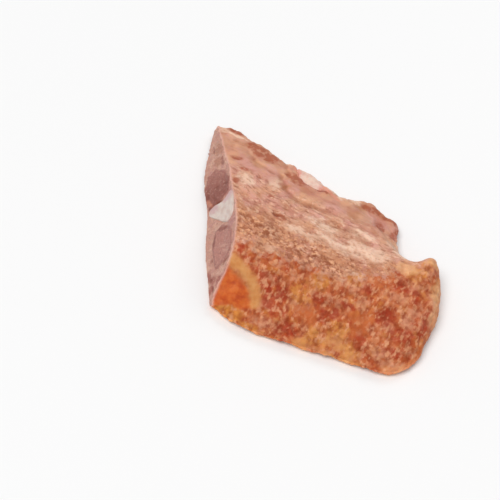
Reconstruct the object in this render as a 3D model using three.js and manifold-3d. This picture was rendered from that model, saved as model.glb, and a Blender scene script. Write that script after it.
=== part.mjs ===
// A slab of smoked pork shoulder ribs, lying flat on its rib side with the browned side up.
//
// Frame: millimetres, +Z up, +X along the slab from the knife cut to the rounded end,
// +Y from the thick front edge to the thin back edge where the rib ends show.
// The origin is the middle of the slab's footprint, on the surface it lies on.
//
// The slab is a box whose sides are morphed to a plan outline, a top profile and an underside.
// A leaning knife cut then takes off its left end. The two pieces of gristle that show, one
// in the cut and one at the back edge, run on inside the meat in pockets of their own.

import * as THREE from 'three';
import { mergeVertices } from 'three/addons/utils/BufferGeometryUtils.js';
import { ImprovedNoise } from 'three/addons/math/ImprovedNoise.js';
import Module from 'manifold-3d';

const { clamp, lerp, smoothstep } = THREE.MathUtils;

// ---- Driving dimensions -----------------------------------------------------------------

const GAP = 0.3; // free space left between the meat and each piece of gristle
const POCKET_MARGIN = 1.3; // pockets are made this much wider than the gap, for their slanting sides

// The cut: its two ends on the underside, and how far the blade leaned from upright.
const CUT_FRONT = new THREE.Vector3(-44.5, -72.8, 0);
const CUT_BACK = new THREE.Vector3(-108.6, 70.2, 0);
const CUT_LEAN = THREE.MathUtils.degToRad(25);

// The two muscles in the cut swell at the bottom of its face: how far along the cut each one
// lies, how far it swells and how long it is. Swelling ends at the height where the top begins.
const CUT_SWELLS = [
  { middle: 45, height: 4, reach: 32 },
  { middle: 112, height: 6.5, reach: 36 },
];
const SWELL_TOP = 22;

// Plan outline, anticlockwise. Each side starts at the point where the one before it ends.
const FRONT_EDGE = [
  [-80, -73], [-44, -75], [-28, -79.5], [-12, -81.5], [8, -79], [37, -75], [62, -71], [86, -67.5],
  [98, -61],
];
const ROUNDED_END = [[107, -46], [107.5, -28], [108.5, -11], [102.5, 13], [96, 26]];
const CURLED_TIP = [[89.5, 33]];
const NOTCH_AND_BACK_EDGE = [
  [83.5, 31], [79, 24.5], [70.5, 24], [62.5, 31], [57, 43], [54, 58.5], [47, 60.5], [40, 61],
  [34, 64.5], [27, 66], [20, 64], [12, 60], [4, 57.5], [-2, 61], [-9, 61.5], [-15, 65], [-24, 66],
  [-33, 66], [-40, 68.5], [-44.5, 66.5], [-53, 70], [-62, 72.5], [-71, 76], [-77, 73.5], [-85, 76.5],
  [-94, 79], [-104, 75],
];
const CUT_OFF_CORNER = [[-132, 62]];

// Slab thickness along its ridge, and where the ridge lies between the front edge (0) and
// the back edge (1), each at the cut and at the rounded end.
const THICKNESS = { cut: 35.5, end: 24 };
const RIDGE_PLACE = { cut: 0.36, end: 0.7 };
const FRONT_SHARE = 0.25; // height at the front edge, as a share of the ridge's
const BACK_DROP = { cut: 0.76, end: 0.42 }; // share of the ridge's height lost by the back
const FRONT_EDGE_Y = { cut: -74, end: -62 };
const BACK_EDGE_Y = { cut: 72, end: 48 };
const BACK_CURVE = 1.3; // how much steeper the fall to the back grows: 1 is an even slope
const END_REACH = 105; // distance along the slab at which the "end" values hold

// Height of the widest line round the slab, and the width that each edge is rounded over.
const RIM_HEIGHT = { front: 5, back: 7 };
const RIM_RISE = { from: 40, to: 60 }; // the widest line rises between these two Y
const EDGE_ROUND = { front: 13, back: 8, under: 5 };
const EDGE_ROUND_CHANGE = { from: 0.3, to: 0.8 }; // share of the way across where the width changes
const LEAST_TOP = 2; // the top lies at least this far above the widest line

// The front corner beside the cut lies lower.
const CORNER = { place: new THREE.Vector2(-42, -67), reach: 19, drop: 4.2 };

// The tip that curls up at the back corner of the rounded end.
const CURL = { place: new THREE.Vector2(87, 31), reach: 13, rimRise: 9, topRise: 6 };

// Step down from the back half to the thin lobe beyond it, at the right of the back edge.
// It fades out before its left end and beyond its right one.
const LEDGE = { from: new THREE.Vector2(23, 49), to: new THREE.Vector2(66, 20), drop: 4, width: 5 };
const LEDGE_FADE = { before: 10, after: 8 };

// Roasted crags: the height and the size of the broad swells and of the small lumps.
const SWELL = { height: 1.5, size: 30, layer: 0.4 };
const LUMP = { height: 1.4, size: 13, layer: 7.3 };
const FIBRE_STRETCH = 2; // lumps are this much longer along the slab on the fibrous back half
const FIBRE_CHANGE = { from: 0.35, to: 0.6 }; // share of the way across where they grow longer

// Underside: ribs rest flat on the surface, with a shallow hollow between each two.
const RIB_SPACING = 32;
const RIB_HOLLOW = 3;
const RIB_TRIM = 0.6; // how much is trimmed off each rib's crest to make its flat strip

// Gristle plate, outlined on the cut face: millimetres along the cut from its front end,
// and millimetres up the leaning face from its bottom edge. A margin round it is a share of
// its half height.
const PLATE_MIDDLE = new THREE.Vector2(69.5, 18);
const PLATE_SECTION = [
  [61, 19], [58.5, 25], [61, 30.5], [67, 32.5], [75, 32], [83.5, 30], [82, 24], [79.5, 18], [79, 11],
  [77, 6], [73.5, 4.5], [70, 7.5], [66, 13],
];
const PLATE_HALF_HEIGHT = 9;
const PLATE_LENGTH = 100;
const PLATE_LEAD = 12; // how far it starts outside the cut, which trims it

// How the plate shrinks: its scale at shares of its length.
const PLATE_TAPER = [[0, 1], [0.3, 0.92], [0.6, 0.78], [0.85, 0.55], [0.96, 0.33], [1, 0.11]];
const PLATE_SIDES = 28;

// Gristle end of a rib, at the back edge: the middle of its outer end, its half sizes, how
// far it runs in under the meat and which way, from +Y. The meat is open above its outer end,
// by an egg-shaped window of which the lowest point lies in the gristle.
const RIB_END_MIDDLE = new THREE.Vector3(-21, 58, 7.4);
const RIB_END_HALF = { width: 16.5, outward: 7.5, height: 4.4 };
const RIB_END_LENGTH = 48;
const RIB_END_TURN = THREE.MathUtils.degToRad(-20);
const RIB_WINDOW = { width: 16, outward: 12, inward: 7, height: 12, rise: 12.5 };
const RIB_END_FACETS = { around: 28, down: 14 };

// Cells of the morphed box's grid, along and across the slab.
const CELLS_ALONG = 50;
const CELLS_ACROSS = 34;
const RIM_BAND = 1.5; // height of the upright band at the slab's widest line
const CUT_CELLS = { along: 40, up: 10 };
const OUTLINE_SAMPLES = 480;

// The blocks that cut: how far they reach past the slab.
const CUT_BLOCK = { beyondEnds: 40, thickness: 90, below: 20, above: 80 };
const FLOOR_BLOCK = { side: 400, depth: 20 };

// ---- Helpers ----------------------------------------------------------------------------

const wasm = await Module();
wasm.setup();

// A closed mesh as a solid that can be joined and cut.
function toSolid(geometry) {
  const bare = geometry.clone();
  bare.deleteAttribute('normal');
  bare.deleteAttribute('uv');
  const merged = mergeVertices(bare, 1e-4);
  return new wasm.Manifold(new wasm.Mesh({
    numProp: 3,
    vertProperties: new Float32Array(merged.attributes.position.array),
    triVerts: new Uint32Array(merged.index.array),
  }));
}

function toGeometry(solid) {
  const mesh = solid.getMesh();
  const geometry = new THREE.BufferGeometry();
  geometry.setAttribute('position', new THREE.BufferAttribute(mesh.vertProperties, 3));
  geometry.setIndex(new THREE.BufferAttribute(mesh.triVerts, 1));
  geometry.computeVertexNormals();
  return geometry;
}

// 0 on the outline, rising as a quarter circle to 1 at the given distance inside it.
function quarterRound(distance, width) {
  const t = clamp(distance / width, 0, 1);
  return Math.sqrt(1 - (1 - t) ** 2);
}

// A smooth hump of height 1 over a place in plan.
const hump = (x, y, place, reach) => Math.exp(-((x - place.x) ** 2 + (y - place.y) ** 2) / reach ** 2);

// ---- Plan -------------------------------------------------------------------------------

const sides = [FRONT_EDGE, [...ROUNDED_END, ...CURLED_TIP], [...NOTCH_AND_BACK_EDGE, ...CUT_OFF_CORNER], []];
const outlinePoints = sides.flat();
const outlineCurve = new THREE.CatmullRomCurve3(
  outlinePoints.map(([x, y]) => new THREE.Vector3(x, y, 0)), true, 'centripetal');
const outlineSamples = outlineCurve.getSpacedPoints(OUTLINE_SAMPLES);

// Shortest distance in plan from a point to the outline.
function distanceToEdge(x, y) {
  let nearest = Infinity;
  for (const p of outlineSamples) nearest = Math.min(nearest, Math.hypot(p.x - x, p.y - y));
  return nearest;
}

// Each side of the outline as a stretch of the curve's own parameter.
const lastPoints = [];
let countedPoints = 0;
for (const side of sides) {
  countedPoints += side.length;
  lastPoints.push((countedPoints - 1) / outlinePoints.length);
}
const [frontEnd, tipEnd, backEnd] = lastPoints;
const front = (s) => outlineCurve.getPoint(lerp(0, frontEnd, s));
const end = (t) => outlineCurve.getPoint(lerp(frontEnd, tipEnd, t));
const back = (s) => outlineCurve.getPoint(lerp(backEnd, tipEnd, s));
const left = (t) => outlineCurve.getPoint(lerp(1, backEnd, t));

// Plan place of a grid point, from (0, 0) at the front left corner to (1, 1) at the curled
// tip: the patch that blends the outline's four sides.
function planPlace(s, t) {
  const place = front(s).multiplyScalar(1 - t).addScaledVector(back(s), t)
    .addScaledVector(left(t), 1 - s).addScaledVector(end(t), s);
  for (const [u, v] of [[0, 0], [1, 0], [0, 1], [1, 1]]) {
    const share = (u ? s : 1 - s) * (v ? t : 1 - t);
    place.addScaledVector(v ? back(u) : front(u), -share);
  }
  return place;
}

// Distance along the slab, measured so that lines of equal value run parallel to the cut.
const cutSkew = (CUT_FRONT.x - CUT_BACK.x) / (CUT_BACK.y - CUT_FRONT.y);
const alongSlab = (x, y) => x + cutSkew * y;
const cutReach = alongSlab(CUT_FRONT.x, CUT_FRONT.y);

// A value that changes evenly from the cut to the rounded end.
function graded(range, x, y) {
  const t = clamp((alongSlab(x, y) - cutReach) / (END_REACH - cutReach), 0, 1);
  return lerp(range.cut, range.end, t);
}

// From 0 at the front edge to 1 at the back edge.
function acrossSlab(x, y) {
  const front = graded(FRONT_EDGE_Y, x, y);
  return clamp((y - front) / (graded(BACK_EDGE_Y, x, y) - front), 0, 1);
}

// ---- Top --------------------------------------------------------------------------------

// A rounded front, a ridge, and a long slope that falls ever more steeply to the back.
function smoothTop(x, y) {
  const across = acrossSlab(x, y);
  const thickness = graded(THICKNESS, x, y);
  const ridge = graded(RIDGE_PLACE, x, y);
  if (across < ridge) return thickness * (1 - (1 - FRONT_SHARE) * (1 - across / ridge) ** 2);
  return thickness * (1 - graded(BACK_DROP, x, y) * ((across - ridge) / (1 - ridge)) ** BACK_CURVE);
}

function ledgeDrop(x, y) {
  const line = LEDGE.to.clone().sub(LEDGE.from);
  const beyond = ((x - LEDGE.from.x) * -line.y + (y - LEDGE.from.y) * line.x) / line.length();
  const onLobe = smoothstep(x, LEDGE.from.x - LEDGE_FADE.before, LEDGE.from.x)
    * smoothstep(LEDGE.to.x - x, -LEDGE_FADE.after, 0);
  return LEDGE.drop * smoothstep(beyond, 0, LEDGE.width) * onLobe;
}

const noise = new ImprovedNoise();

function crags(x, y) {
  const fibrous = smoothstep(acrossSlab(x, y), FIBRE_CHANGE.from, FIBRE_CHANGE.to);
  const stretch = lerp(1, FIBRE_STRETCH, fibrous);
  return SWELL.height * noise.noise(x / SWELL.size, y / SWELL.size, SWELL.layer)
    + LUMP.height * noise.noise(x / (LUMP.size * stretch), y / LUMP.size, LUMP.layer);
}

// Height of the slab's widest line, where top and underside meet.
function rimHeight(x, y) {
  const back = smoothstep(y, RIM_RISE.from, RIM_RISE.to);
  return lerp(RIM_HEIGHT.front, RIM_HEIGHT.back, back) + CURL.rimRise * hump(x, y, CURL.place, CURL.reach);
}

function topHeight(x, y) {
  const rim = rimHeight(x, y) + RIM_BAND / 2;
  const curl = CURL.topRise * hump(x, y, CURL.place, CURL.reach);
  const corner = CORNER.drop * hump(x, y, CORNER.place, CORNER.reach);
  const inside = smoothTop(x, y) + curl - corner + crags(x, y) - ledgeDrop(x, y);
  const change = smoothstep(acrossSlab(x, y), EDGE_ROUND_CHANGE.from, EDGE_ROUND_CHANGE.to);
  const roundWidth = lerp(EDGE_ROUND.front, EDGE_ROUND.back, change);
  return lerp(rim, Math.max(inside, rim + LEAST_TOP), quarterRound(distanceToEdge(x, y), roundWidth));
}

// ---- Underside --------------------------------------------------------------------------

function bottomHeight(x, y) {
  const offRib = 0.5 - 0.5 * Math.cos((2 * Math.PI * alongSlab(x, y)) / RIB_SPACING);
  const inside = RIB_HOLLOW * offRib - RIB_TRIM;
  const rim = rimHeight(x, y) - RIM_BAND / 2;
  return lerp(rim, inside, quarterRound(distanceToEdge(x, y), EDGE_ROUND.under));
}

// ---- Whole slab -------------------------------------------------------------------------

// Grid lines lie closer together towards each edge, but not towards the cut.
const alongShare = (u) => lerp(u, Math.sin((u * Math.PI) / 2), 0.7);
const acrossShare = (v) => lerp(v, 0.5 - 0.5 * Math.cos(v * Math.PI), 0.8);

function wholeSlab() {
  const geometry = new THREE.BoxGeometry(1, 1, 1, CELLS_ALONG, CELLS_ACROSS, 1);
  const { position } = geometry.attributes;
  for (let i = 0; i < position.count; i++) {
    const u = clamp(position.getX(i) + 0.5, 0, 1);
    const v = clamp(position.getY(i) + 0.5, 0, 1);
    const { x, y } = planPlace(alongShare(u), acrossShare(v));
    position.setXYZ(i, x, y, position.getZ(i) > 0 ? topHeight(x, y) : bottomHeight(x, y));
  }
  return toSolid(geometry);
}

// ---- Knife cut --------------------------------------------------------------------------

const alongCut = CUT_BACK.clone().sub(CUT_FRONT).normalize();
const cutLength = CUT_BACK.distanceTo(CUT_FRONT);
const cutNormal = new THREE.Vector3(-alongCut.y, alongCut.x, 0)
  .multiplyScalar(Math.cos(CUT_LEAN)).setZ(Math.sin(CUT_LEAN));
const upCut = new THREE.Vector3().crossVectors(alongCut, cutNormal);
const cutFrame = new THREE.Matrix4().makeBasis(alongCut, cutNormal, upCut).setPosition(CUT_FRONT);

// How far the cut face swells out of its plane, at a place along the cut and up its face.
function cutSwell(along, up) {
  const fade = clamp(1 - up / SWELL_TOP, 0, 1);
  return CUT_SWELLS.reduce(
    (sum, swell) => sum + swell.height * fade * Math.exp(-(((along - swell.middle) / swell.reach) ** 2)), 0);
}

// The side that is cut away: a block in the frame of the cut, with the swells pressed into
// its near face.
function cutAwaySide() {
  const size = new THREE.Vector3(
    cutLength + 2 * CUT_BLOCK.beyondEnds, CUT_BLOCK.thickness, CUT_BLOCK.below + CUT_BLOCK.above);
  const geometry = new THREE.BoxGeometry(size.x, size.y, size.z, CUT_CELLS.along, 1, CUT_CELLS.up);
  geometry.translate(cutLength / 2, size.y / 2, size.z / 2 - CUT_BLOCK.below);
  const { position } = geometry.attributes;
  for (let i = 0; i < position.count; i++) {
    if (position.getY(i) < size.y / 2) position.setY(i, cutSwell(position.getX(i), position.getZ(i)));
  }
  return toSolid(geometry.applyMatrix4(cutFrame));
}

// Everything below the surface that the slab lies on.
function belowSurface() {
  const { side, depth } = FLOOR_BLOCK;
  return toSolid(new THREE.BoxGeometry(side, side, depth).translate(0, 0, -depth / 2));
}

// ---- Gristle ----------------------------------------------------------------------------

// The plate in the cut face: its section, moved along +X and shrinking to a rounded end.
// A positive margin makes the pocket for it.
function gristlePlate(margin) {
  const section = new THREE.SplineCurve(PLATE_SECTION.map(([p, q]) => new THREE.Vector2(p, q)));
  section.points.push(section.points[0].clone());
  const points = section.getSpacedPoints(PLATE_SIDES).slice(0, PLATE_SIDES);
  const spread = 1 + margin / PLATE_HALF_HEIGHT;
  const rings = [[-PLATE_LEAD, 1], ...PLATE_TAPER.map(([share, scale]) => [share * PLATE_LENGTH, scale])];
  rings.at(-1)[0] += margin;
  const positions = [];
  for (const [distance, scale] of rings) {
    for (const point of points) {
      const offset = point.clone().sub(PLATE_MIDDLE).multiplyScalar(scale * spread);
      const onFace = new THREE.Vector3(PLATE_MIDDLE.x + offset.x, 0, PLATE_MIDDLE.y + offset.y);
      const place = onFace.applyMatrix4(cutFrame);
      positions.push(place.x + distance, place.y, place.z);
    }
  }
  const index = [];
  for (let ring = 0; ring < rings.length - 1; ring++) {
    for (let i = 0; i < PLATE_SIDES; i++) {
      const a = ring * PLATE_SIDES + i;
      const b = ring * PLATE_SIDES + ((i + 1) % PLATE_SIDES);
      index.push(a, a + PLATE_SIDES, b, b, a + PLATE_SIDES, b + PLATE_SIDES);
    }
  }
  const last = (rings.length - 1) * PLATE_SIDES;
  for (let i = 1; i < PLATE_SIDES - 1; i++) {
    index.push(0, i, i + 1);
    index.push(last, last + i + 1, last + i);
  }
  const geometry = new THREE.BufferGeometry();
  geometry.setAttribute('position', new THREE.Float32BufferAttribute(positions, 3));
  geometry.setIndex(index);
  return toSolid(geometry);
}

// An egg that lies along the rib: its outward half and its inward half have lengths of their
// own. Its middle is raised above the rib end's.
function ribEgg(width, outward, inward, height, rise) {
  const geometry = new THREE.SphereGeometry(1, RIB_END_FACETS.around, RIB_END_FACETS.down);
  const { position } = geometry.attributes;
  for (let i = 0; i < position.count; i++) {
    const y = position.getY(i);
    position.setXYZ(i, position.getX(i) * width, y * (y > 0 ? outward : inward), position.getZ(i) * height);
  }
  const { x, y, z } = RIB_END_MIDDLE;
  return toSolid(geometry.rotateZ(RIB_END_TURN).translate(x, y, z + rise));
}

// A positive margin makes the pocket for it.
function ribEnd(margin) {
  const { width, outward, height } = RIB_END_HALF;
  return ribEgg(width + margin, outward + margin, RIB_END_LENGTH + margin, height + margin, 0);
}

function ribWindow() {
  const { width, outward, inward, height, rise } = RIB_WINDOW;
  return ribEgg(width, outward, inward, height, rise);
}

// ---- Assembly ---------------------------------------------------------------------------

function food(name, solid, color, roughness) {
  const material = new THREE.MeshStandardMaterial({ color, roughness, metalness: 0 });
  const mesh = new THREE.Mesh(toGeometry(solid), material);
  mesh.name = name;
  return mesh;
}

const cutAway = cutAwaySide();
const meat = wholeSlab()
  .subtract(belowSurface())
  .subtract(cutAway)
  .subtract(gristlePlate(GAP * POCKET_MARGIN))
  .subtract(ribEnd(GAP * POCKET_MARGIN))
  .subtract(ribWindow());

const slab = new THREE.Group();
slab.add(food('meat', meat, 0xbd7350, 0.55));
slab.add(food('gristle_plate', gristlePlate(0).subtract(cutAway), 0xd1bbb3, 0.4));
slab.add(food('rib_end', ribEnd(0), 0xe5c7b8, 0.4));

// The footprint's middle goes to the origin.
const footprint = new THREE.Box3().setFromObject(slab);
const middle = footprint.getCenter(new THREE.Vector3());
slab.position.set(-middle.x, -middle.y, -footprint.min.z);

export default slab;
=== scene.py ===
"""A slab of smoked pork shoulder ribs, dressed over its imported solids.

The slab's roasted crust, its knife cut and the two pieces of gristle are fine meshes made
from the solids' own surfaces. Lengths are in millimetres and turned into metres with MM
where Blender needs them. X, Y and Z are the row frame's.
"""
import math

import bpy
import bmesh
import numpy as np
from mathutils import Matrix, Vector, bvhtree, kdtree, noise


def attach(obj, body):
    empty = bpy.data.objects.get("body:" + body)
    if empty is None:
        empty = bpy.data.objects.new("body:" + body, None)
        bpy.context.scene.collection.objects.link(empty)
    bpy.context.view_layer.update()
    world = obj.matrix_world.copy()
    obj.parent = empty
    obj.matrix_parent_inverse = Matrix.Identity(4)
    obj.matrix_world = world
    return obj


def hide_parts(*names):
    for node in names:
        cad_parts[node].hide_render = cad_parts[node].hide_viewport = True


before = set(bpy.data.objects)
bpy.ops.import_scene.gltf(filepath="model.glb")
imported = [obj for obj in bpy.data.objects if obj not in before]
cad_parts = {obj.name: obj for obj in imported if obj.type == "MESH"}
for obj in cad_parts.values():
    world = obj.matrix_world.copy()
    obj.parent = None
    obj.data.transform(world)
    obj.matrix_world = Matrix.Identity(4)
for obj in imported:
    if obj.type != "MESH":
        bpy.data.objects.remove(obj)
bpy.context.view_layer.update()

MM = 0.001

# ---- Places and sizes, in millimetres ---------------------------------------------------

# The knife cut: its ends on the underside, the blade's lean, and the two soft swells of its
# face (place along the cut, height, reach), which fade out at SWELL_TOP up the face.
CUT_FRONT = np.array([-44.23, -71.36, 0.0])
CUT_BACK = np.array([-108.33, 71.64, 0.0])
CUT_LEAN = math.radians(25)
CUT_SWELLS = ((45, 4.0, 32), (112, 6.5, 36))
SWELL_TOP = 22
RELIEF_FADE = 5  # how near to the cut the crust's relief fades out

# The fine meshes: their voxels, and the rounds of smoothing that each gets.
MEAT_VOXEL = 0.92
GRISTLE_VOXEL = 0.8
MEAT_SMOOTHING = 24
RIB_SEAT_SMOOTHING = 4
PLATE_SMOOTHING = 6
RIB_SMOOTHING = 8
WELD = 0.01  # points of a solid nearer than this are one

# How the gristle sits in the meat.
POCKET_FILL = 0.6  # how far the meat is filled in round the gristle, over the solids' gap
GRISTLE_GROWTH = 0.45  # how far the gristle is grown into the gap
PLATE_DROP = 0.8  # how far the meat lies behind the gristle plate's cut end
RIB_DROP = 1.6  # how far it lies below the rib end's open part

# The photograph's view: from above the front of the slab and a little to its right.
VIEW_TARGET = Vector((-36.71, -13.6, 0.0))
VIEW_AZIMUTH = math.radians(14)
VIEW_ELEVATION = math.radians(55)
VIEW_ROLL = math.radians(13)
VIEW_DISTANCE = 874.5
VIEW_LENS = 85
VIEW_SENSOR = 36
VIEW_NEAREST = 50

# Light and floor: each sun's direction, strength and spread in degrees.
WORLD_LIGHT = 0.42
SUNS = (("key", (-0.3, -0.3, 1.0), 1.9, 35), ("back", (0.2, 0.9, 0.7), 0.5, 25))
FLOOR_SIZE = 6000
FLOOR_COLOUR = (0.9, 0.9, 0.9)
FLOOR_ROUGHNESS = 0.6


# ---- Fields over a cloud of points ------------------------------------------------------

def smoothstep(low, high, value):
    """0 up to low, 1 from high on and a smooth rise between, or a fall where high is less."""
    t = np.clip((value - low) / (high - low), 0.0, 1.0)
    return t * t * (3 - 2 * t)


def waves(points, size, seed=0.0):
    """Smooth noise from about -1 to 1, with lumps of a size (one number, or one an axis).

    Each seed gives another noise of the same kind.
    """
    scaled = points / np.asarray(size, float) + seed * 13.7
    return np.array([noise.noise(p) for p in scaled.tolist()]) * 1.6


def layered(points, size, seed=0.0, layers=3):
    """Noise with finer and fainter layers on it."""
    size = np.asarray(size, float)
    total = sum(waves(points, size / 2 ** k, seed + k) / 2 ** k for k in range(layers))
    return total / 1.5


def ridged(points, size, seed=0.0):
    """Noise with sharp crests: 1 on a crest, towards 0 between them."""
    return 1 - np.abs(waves(points, size, seed))


def lumps(points, size, seed=0.0):
    """Round cells: 1 at a cell's middle, towards 0 at its edge."""
    scaled = (points / size + seed * 5.3).tolist()
    return np.array([1 - min(1.0, noise.voronoi(p)[0][0] * 1.6) for p in scaled])


def spot(points, place, reach, turn=0.0, warp=None):
    """A soft-edged ellipse in plan: 1 in its middle, 0 outside."""
    angle = math.radians(turn)
    across = points[:, :2] - np.asarray(place, float)
    u = (across[:, 0] * math.cos(angle) + across[:, 1] * math.sin(angle)) / reach[0]
    v = (-across[:, 0] * math.sin(angle) + across[:, 1] * math.cos(angle)) / reach[1]
    radius = np.sqrt(u * u + v * v)
    if warp is not None:
        radius = radius + warp
    return 1 - smoothstep(0.3, 1.4, radius)


def patches(points, places, warp=None):
    """The strongest of several patches at each point."""
    return np.max([spot(points, *place, warp=warp) for place in places], axis=0)


def nearest_on_line(points, line):
    """Distance in plan to a line of several stretches, and the distance to its left."""
    distance = np.full(len(points), np.inf)
    beside = np.zeros(len(points))
    for start, stop in zip(line[:-1], line[1:]):
        stretch = stop - start
        from_start = points[:, :2] - start
        share = np.clip(from_start @ stretch / (stretch @ stretch), 0, 1)
        gap = np.linalg.norm(from_start - np.outer(share, stretch), axis=1)
        left = from_start @ np.array([-stretch[1], stretch[0]]) / np.linalg.norm(stretch)
        beside = np.where(gap < distance, left, beside)
        distance = np.minimum(distance, gap)
    return distance, beside


def inside(points, outline):
    """How far each point lies inside an outline. It is negative outside."""
    closed = np.vstack([outline, outline[:1]])
    within = np.zeros(len(points), bool)
    for (x0, y0), (x1, y1) in zip(closed[:-1], closed[1:]):
        crosses = (y0 > points[:, 1]) != (y1 > points[:, 1])
        within ^= crosses & (points[:, 0] < x0 + (points[:, 1] - y0) * (x1 - x0) / (y1 - y0))
    return np.where(within, 1, -1) * nearest_on_line(points, closed)[0]


# ---- The knife cut's own coordinates ----------------------------------------------------

CUT_ALONG = (CUT_BACK - CUT_FRONT) / np.linalg.norm(CUT_BACK - CUT_FRONT)
CUT_OUT = np.array([
    -CUT_ALONG[1] * math.cos(CUT_LEAN), CUT_ALONG[0] * math.cos(CUT_LEAN), math.sin(CUT_LEAN)])
CUT_UP = np.cross(CUT_ALONG, CUT_OUT)


def cut_coordinates(points):
    """Place along the cut and up its face, and distance out of the swelling face."""
    from_front = points - CUT_FRONT
    along, up, out = from_front @ CUT_ALONG, from_front @ CUT_UP, from_front @ CUT_OUT
    fade = np.clip(1 - up / SWELL_TOP, 0, 1)
    for middle, height, reach in CUT_SWELLS:
        out = out - height * fade * np.exp(-(((along - middle) / reach) ** 2))
    return np.stack([along, up], 1), out


# ---- Meshes -----------------------------------------------------------------------------

def mesh_points(mesh):
    flat = np.empty(len(mesh.vertices) * 3, np.float32)
    mesh.vertices.foreach_get("co", flat)
    return flat.reshape(-1, 3).astype(float) / MM


def mesh_normals(mesh):
    flat = np.empty(len(mesh.vertices) * 3, np.float32)
    mesh.vertex_normals.foreach_get("vector", flat)
    return flat.reshape(-1, 3).astype(float)


def set_points(mesh, points):
    mesh.vertices.foreach_set("co", (points * MM).astype(np.float32).ravel())
    mesh.update()


def smoothed(mesh, points, rounds, weight=None, strength=0.5):
    """Each point moved towards the middle of its neighbours, as far as its weight allows."""
    edges = np.empty(len(mesh.edges) * 2, np.int32)
    mesh.edges.foreach_get("vertices", edges)
    a, b = edges.reshape(-1, 2).T
    count = len(points)
    neighbours = np.bincount(a, minlength=count) + np.bincount(b, minlength=count)
    share = strength if weight is None else (strength * weight)[:, None]
    for _ in range(rounds):
        total = np.stack([
            np.bincount(a, points[b, k], count) + np.bincount(b, points[a, k], count)
            for k in range(points.shape[1])], 1)
        points = points + share * (total / neighbours[:, None] - points)
    return points


def add_object(name, mesh):
    piece = bpy.data.objects.new(name, mesh)
    bpy.context.scene.collection.objects.link(piece)
    return piece


def largest_body(build):
    """The vertices of a mesh's largest connected body."""
    unseen, largest = set(build.verts), set()
    while unseen:
        body, ahead = set(), [next(iter(unseen))]
        while ahead:
            vert = ahead.pop()
            if vert not in body:
                body.add(vert)
                ahead.extend(edge.other_vert(vert) for edge in vert.link_edges)
        unseen -= body
        largest = max(largest, body, key=len)
    return largest


def drop_specks(mesh):
    """Takes away the loose specks that voxels can leave inside a body."""
    build = bmesh.new()
    build.from_mesh(mesh)
    kept = largest_body(build)
    specks = [vert for vert in build.verts if vert not in kept]
    bmesh.ops.delete(build, geom=specks, context="VERTS")
    build.to_mesh(mesh)
    build.free()


def voxel_copy(name, sources, voxel):
    """One closed fine mesh round several CAD nodes, each grown by its own margin."""
    build = bmesh.new()
    for node, margin in sources:
        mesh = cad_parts[node].data.copy()
        part = bmesh.new()
        part.from_mesh(mesh)
        bmesh.ops.remove_doubles(part, verts=part.verts, dist=WELD * MM)
        part.normal_update()
        grown = {v: v.co + v.normal * margin * MM for v in part.verts}
        for vert, place in grown.items():
            vert.co = place
        part.to_mesh(mesh)
        part.free()
        build.from_mesh(mesh)
        bpy.data.meshes.remove(mesh)
    rough = bpy.data.meshes.new(name + "_rough")
    build.to_mesh(rough)
    build.free()
    holder = add_object(name + "_rough", rough)
    remesh = holder.modifiers.new("voxels", "REMESH")
    remesh.mode = "VOXEL"
    remesh.voxel_size = voxel * MM
    evaluated = holder.evaluated_get(bpy.context.evaluated_depsgraph_get())
    fine = bpy.data.meshes.new_from_object(evaluated)
    fine.name = name
    bpy.data.objects.remove(holder)
    bpy.data.meshes.remove(rough)
    drop_specks(fine)
    fine.materials.clear()
    fine.polygons.foreach_set("use_smooth", np.ones(len(fine.polygons), bool))
    return fine


def store(mesh, name, values):
    """Keeps a number at each point, which a material reads by its name."""
    layer = mesh.attributes.new(name, "FLOAT", "POINT")
    layer.data.foreach_set("value", values.astype(np.float32))


def nearest(points, targets):
    """How far each point is from the nearest of several targets."""
    tree = kdtree.KDTree(len(targets))
    for i, place in enumerate(targets.tolist()):
        tree.insert(place, i)
    tree.balance()
    return np.array([tree.find(place)[2] for place in points.tolist()])


def node_distance(points, node):
    """How far each point is from the surface of a CAD node."""
    build = bmesh.new()
    build.from_mesh(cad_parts[node].data)
    tree = bvhtree.BVHTree.FromBMesh(build)
    build.free()
    return np.array([tree.find_nearest(place)[3] for place in (points * MM).tolist()]) / MM


# ---- The crust: its zones, patches and relief --------------------------------------------

# In plan, the browned front lies below the first line, a mottled band reaches from it to the
# second, and the paler back lies above both.
BROWN_LINE = np.array([
    (-60, -34), (-20, -31), (0, -26), (28, -26), (40, -18), (54, -9), (66, 1), (75, 12), (90, 32)])
MOTTLED_LINE = np.array([(-60, -6), (-20, -6), (30, -7), (44, -4), (58, 6), (70, 16)])

ZONE_WANDER = 5  # how far the zones' edges wander from those lines
PATCH_WARP = 0.4  # how uneven the patches' outlines are, as a share of their half sizes

# The fibres run along X, turn across the slab by a slope that grows with X, and wander.
FIBRE_SLOPE = -0.075
FIBRE_BEND = 0.0015
FIBRE_WANDER = 1.8

# The step down to the thin lobe at the right of the back edge, and the groove beside it: how
# far from the step it runs, its depth and its half width.
LEDGE = np.array([(23.3, 50.4), (66.3, 21.4)])
GROOVE_PLACE = 2.5
GROOVE_DEPTH = 0.5
GROOVE_HALF_WIDTH = 2.6

# Fat that shows beside the cut's front end: its outline, and the middle of a yellow band.
ORANGE_FAT = np.array([
    (-46, -54), (-41, -50), (-30, -54), (-20, -59), (-14, -64), (-20, -67.5), (-30, -68),
    (-36, -71), (-46, -76)])
YELLOW_BAND = np.array([
    (-46, -43), (-40, -45), (-30, -47.5), (-22, -51), (-16, -55.5), (-12.5, -61.5)])
YELLOW_HALF_WIDTH = 4.6

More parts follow.
